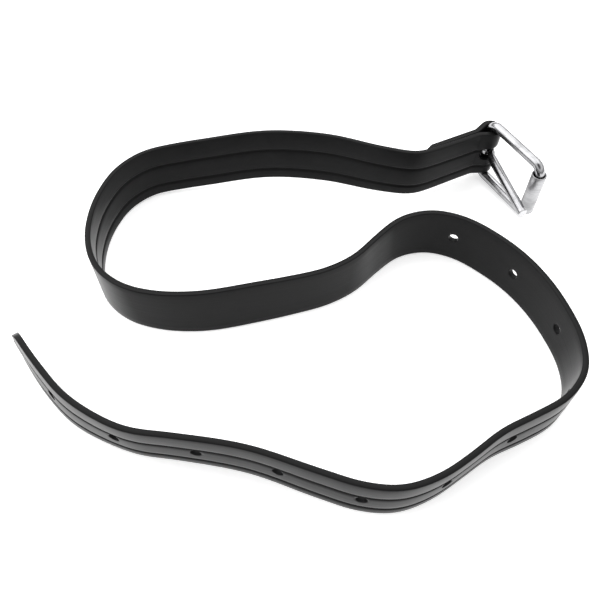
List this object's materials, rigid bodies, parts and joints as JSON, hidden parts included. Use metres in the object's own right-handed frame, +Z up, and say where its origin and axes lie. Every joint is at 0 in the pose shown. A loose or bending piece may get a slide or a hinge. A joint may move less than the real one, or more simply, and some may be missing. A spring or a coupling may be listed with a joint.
{
  "type": "dive weight belt",
  "caption": "Rubber diving weight belt laid on edge in an S, with a punched strap, a bent-rod frame buckle, a roller and a swinging tongue.",
  "frame": {"origin": "on the floor under the middle of the belt's bounding box as it is laid out", "axes": "+Z up along the width of the strap, which stands on its edge; +X along the longest extent, from the tail tip towards the buckle side; +Y from the run that carries the last holes towards the run that carries the buckle"},
  "size_m": [0.4508, 0.3525, 0.0692],
  "materials": {
    "strap_rubber": "moulded matt black rubber with a slight sheen",
    "rod_steel": "polished stainless rod",
    "roller_steel": "satin stainless tube",
    "tongue_steel": "polished stainless rod with a cut end"
  },
  "bodies": {
    "strap": {"strap": "strap_rubber"},
    "frame": {"buckle_frame": "rod_steel"},
    "roller": {"roller": "roller_steel"},
    "tongue": {"tongue": "tongue_steel"}
  },
  "joints": [
    {"name": "frame_swing", "type": "hinge", "parent": "strap", "child": "frame", "pos_m": [0.1835, 0.1655, 0.0346], "axis": [0, 0, 1], "range_deg": [-10, 205]},
    {"name": "tongue_swing", "type": "hinge", "parent": "frame", "child": "tongue", "pos_m": [0.1835, 0.1655, 0.0346], "axis": [0, 0, 1], "range_deg": [-6, 7]},
    {"name": "roller_spin", "type": "hinge", "parent": "frame", "child": "roller", "pos_m": [0.21801, 0.10807, 0.0341], "axis": [0, 0, 1], "continuous": true}
  ]
}
